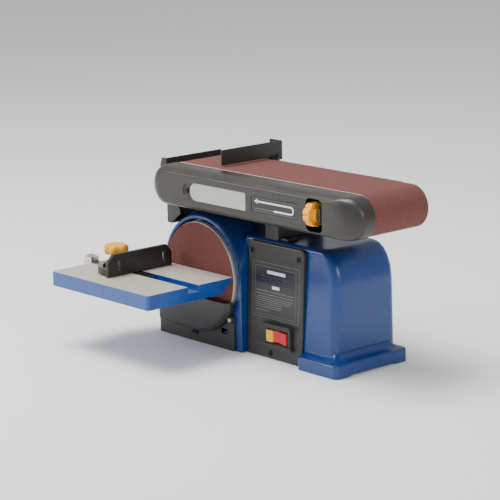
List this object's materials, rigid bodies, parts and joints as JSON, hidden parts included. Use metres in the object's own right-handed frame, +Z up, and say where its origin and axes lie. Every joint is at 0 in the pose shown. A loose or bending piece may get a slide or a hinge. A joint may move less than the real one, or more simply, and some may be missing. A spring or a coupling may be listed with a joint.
{
  "type": "belt and disc sander",
  "caption": "Bench sander: abrasive belt on a hinged arm over a motor base, with a side disc, a tilting table, a miter gauge and a keyed rocker switch.",
  "frame": {"origin": "on the bench, under the middle of the base, in the plane of the bottom plate", "axes": "+Z up; +X along the belt arm, from the disc end to the idler drum; -Y towards the operator, out of the disc's face"},
  "size_m": [0.5256, 0.3304, 0.2869],
  "materials": {
    "base_blue": "glossy blue enamel on a casting",
    "table_blue": "blue paint over a die casting, ground bare on top",
    "black_plastic": "moulded, satin",
    "dark_plastic": "moulded, matt",
    "black_steel": "black paint on sheet steel",
    "zinc_steel": "zinc plated",
    "ground_steel": "ground bright",
    "cast_aluminium": "machined casting",
    "arm_casting": "casting, painted dark grey",
    "abrasive": "aluminium oxide grit on cloth",
    "light_plate": "light satin plate",
    "label_black": "printed film",
    "knob_orange": "moulded knob, amber",
    "key_yellow": "moulded key",
    "rocker_red": "moulded rocker",
    "rubber_black": "moulded rubber"
  },
  "bodies": {
    "base": {"base_casting": "base_blue", "bottom_plate": "black_steel", "lower_front_plate": "dark_plastic", "disc_guard": "dark_plastic", "guard_screw_1": "zinc_steel", "guard_screw_2": "zinc_steel", "switch_panel": "dark_plastic", "panel_screw_1": "black_steel", "panel_screw_2": "black_steel", "panel_screw_3": "black_steel", "switch_bezel": "dark_plastic", "switch_body": "black_plastic", "motor_front_bell": "cast_aluminium", "motor_can": "black_steel", "motor_bearing_front": "ground_steel", "motor_bearing_back": "ground_steel", "drive_belt": "rubber_black", "drive_cover": "black_plastic", "drive_cover_screw": "zinc_steel", "dust_port": "black_plastic", "cord_gland": "rubber_black", "arm_support": "arm_casting", "drum_bearing_front": "ground_steel", "drum_bearing_back": "ground_steel", "belt_end_guard": "black_steel", "arm_rest": "dark_plastic", "table_bracket": "black_steel"},
    "disc_spindle": {"motor_rotor": "ground_steel", "disc_plate": "cast_aluminium", "abrasive_disc": "abrasive", "motor_pulley": "cast_aluminium"},
    "drive_spindle": {"drive_drum": "cast_aluminium", "drum_shaft": "ground_steel", "drum_pulley": "cast_aluminium"},
    "arm": {"arm_frame": "arm_casting", "platen": "zinc_steel", "sanding_belt": "abrasive", "side_cover": "black_plastic", "cover_plate": "light_plate", "arrow_label": "label_black", "cover_screw": "zinc_steel", "work_stop": "black_steel", "stop_screw_1": "zinc_steel", "stop_screw_2": "zinc_steel", "tracking_rod": "zinc_steel"},
    "tension_handle": {"tension_lever": "black_steel"},
    "idler_carriage": {"idler_yoke": "black_steel", "idler_axle": "ground_steel"},
    "idler_roller": {"idler_drum": "cast_aluminium"},
    "tracking_wheel": {"tracking_knob": "knob_orange"},
    "table": {"work_table": "table_blue", "table_trunnion": "black_steel"},
    "table_lock": {"table_lock_knob": "black_plastic"},
    "miter_slide": {"miter_bar": "ground_steel", "miter_pointer": "zinc_steel"},
    "miter_fence": {"miter_head": "black_plastic"},
    "miter_lock": {"miter_knob": "knob_orange"},
    "rocker": {"switch_rocker": "rocker_red"},
    "key": {"safety_key": "key_yellow"}
  },
  "joints": [
    {"name": "disc_spin", "type": "hinge", "parent": "base", "child": "disc_spindle", "pos_m": [-0.083, -0.06675, 0.104], "axis": [0, 1, 0], "continuous": true},
    {"name": "drum_spin", "type": "hinge", "parent": "base", "child": "drive_spindle", "pos_m": [-0.122, -0.06675, 0.2336], "axis": [0, 1, 0], "continuous": true},
    {"name": "arm_raise", "type": "hinge", "parent": "base", "child": "arm", "pos_m": [-0.122, 0.05575, 0.2336], "axis": [0, -1, 0], "range_deg": [0, 90]},
    {"name": "tension_swing", "type": "hinge", "parent": "arm", "child": "tension_handle", "pos_m": [0.11, 0.05575, 0.2336], "axis": [0, 1, 0], "range_deg": [0, 100]},
    {"name": "idler_slide", "type": "slide", "parent": "arm", "child": "idler_carriage", "axis": [-1, 0, 0], "range_m": [0, 0.006]},
    {"name": "idler_spin", "type": "hinge", "parent": "idler_carriage", "child": "idler_roller", "pos_m": [0.24456, -0.06675, 0.2336], "axis": [0, 1, 0], "continuous": true},
    {"name": "tracking_turn", "type": "hinge", "parent": "arm", "child": "tracking_wheel", "pos_m": [0.19, -0.09535, 0.2336], "axis": [1, 0, 0], "range_deg": [-180, 180]},
    {"name": "table_tilt", "type": "hinge", "parent": "base", "child": "table", "pos_m": [-0.0039, -0.07475, 0.112], "axis": [1, 0, 0], "range_deg": [0, 38]},
    {"name": "table_lock_turn", "type": "hinge", "parent": "base", "child": "table_lock", "pos_m": [-0.1913, -0.07475, 0.062], "axis": [-1, 0, 0], "range_deg": [0, 180]},
    {"name": "miter_slide", "type": "slide", "parent": "table", "child": "miter_slide", "axis": [1, 0, 0], "range_m": [-0.05, 0.11]},
    {"name": "miter_swing", "type": "hinge", "parent": "miter_slide", "child": "miter_fence", "pos_m": [-0.142, -0.14775, 0.112], "axis": [0, 0, 1], "range_deg": [-60, 60]},
    {"name": "miter_lock_turn", "type": "hinge", "parent": "miter_slide", "child": "miter_lock", "pos_m": [-0.18, -0.14775, 0.1416], "axis": [0, 0, 1], "range_deg": [0, 180]},
    {"name": "rocker_tip", "type": "hinge", "parent": "base", "child": "rocker", "pos_m": [0.0723, -0.05317, 0.0355], "axis": [0, 0, 1], "range_deg": [0, 7]},
    {"name": "key_pull", "type": "slide", "parent": "rocker", "child": "key", "axis": [0, -1, 0], "range_m": [0, 0.015]}
  ],
  "couplings": [
    {"joint": "drum_spin", "follows": "disc_spin", "ratio": 0.88235},
    {"joint": "idler_spin", "follows": "disc_spin", "ratio": 0.88235},
    {"joint": "idler_slide", "follows": "tension_swing", "m_per_rad": 0.0034377}
  ]
}
